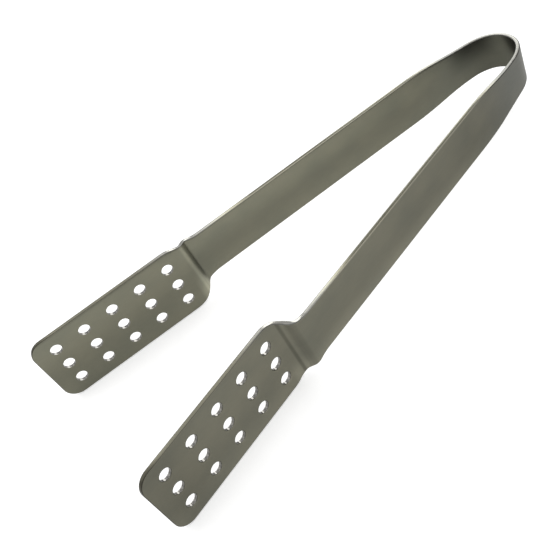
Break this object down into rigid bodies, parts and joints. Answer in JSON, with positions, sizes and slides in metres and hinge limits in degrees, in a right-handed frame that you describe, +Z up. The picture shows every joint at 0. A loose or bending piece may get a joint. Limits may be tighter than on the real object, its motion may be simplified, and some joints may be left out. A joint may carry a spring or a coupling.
{
  "type": "tea bag tongs",
  "caption": "Spring tongs bent from one strip of stainless sheet: a narrow bow, two flat arms and wide, joggled, perforated paddles that squeeze and drain a tea bag.",
  "frame": {"origin": "centre of the box round the whole part, at the level of the paddles' lower edges", "axes": "+X from the paddle tips towards the bow, +Y from the front arm towards the rear arm, +Z up from the paddles' lower edges"},
  "size_m": [0.1546, 0.0616, 0.0227],
  "materials": {
    "strip_steel": "satin stainless steel with polished edges"
  },
  "bodies": {
    "bow": {"spring_bow": "strip_steel"},
    "rear_jaw": {"rear_arm": "strip_steel", "rear_paddle": "strip_steel"},
    "front_jaw": {"front_arm": "strip_steel", "front_paddle": "strip_steel"}
  },
  "joints": [
    {"name": "rear_squeeze", "type": "hinge", "parent": "bow", "child": "rear_jaw", "pos_m": [0.0472, 0.01234, 0.01135], "axis": [0, 0, 1], "range_deg": [0, 13.48], "stiffness_Nm_per_rad": 3.95},
    {"name": "front_squeeze", "type": "hinge", "parent": "bow", "child": "front_jaw", "pos_m": [0.0472, -0.01234, 0.01135], "axis": [0, 0, -1], "range_deg": [0, 13.48], "stiffness_Nm_per_rad": 3.95}
  ],
  "couplings": [
    {"joint": "front_squeeze", "follows": "rear_squeeze", "ratio": 1}
  ]
}
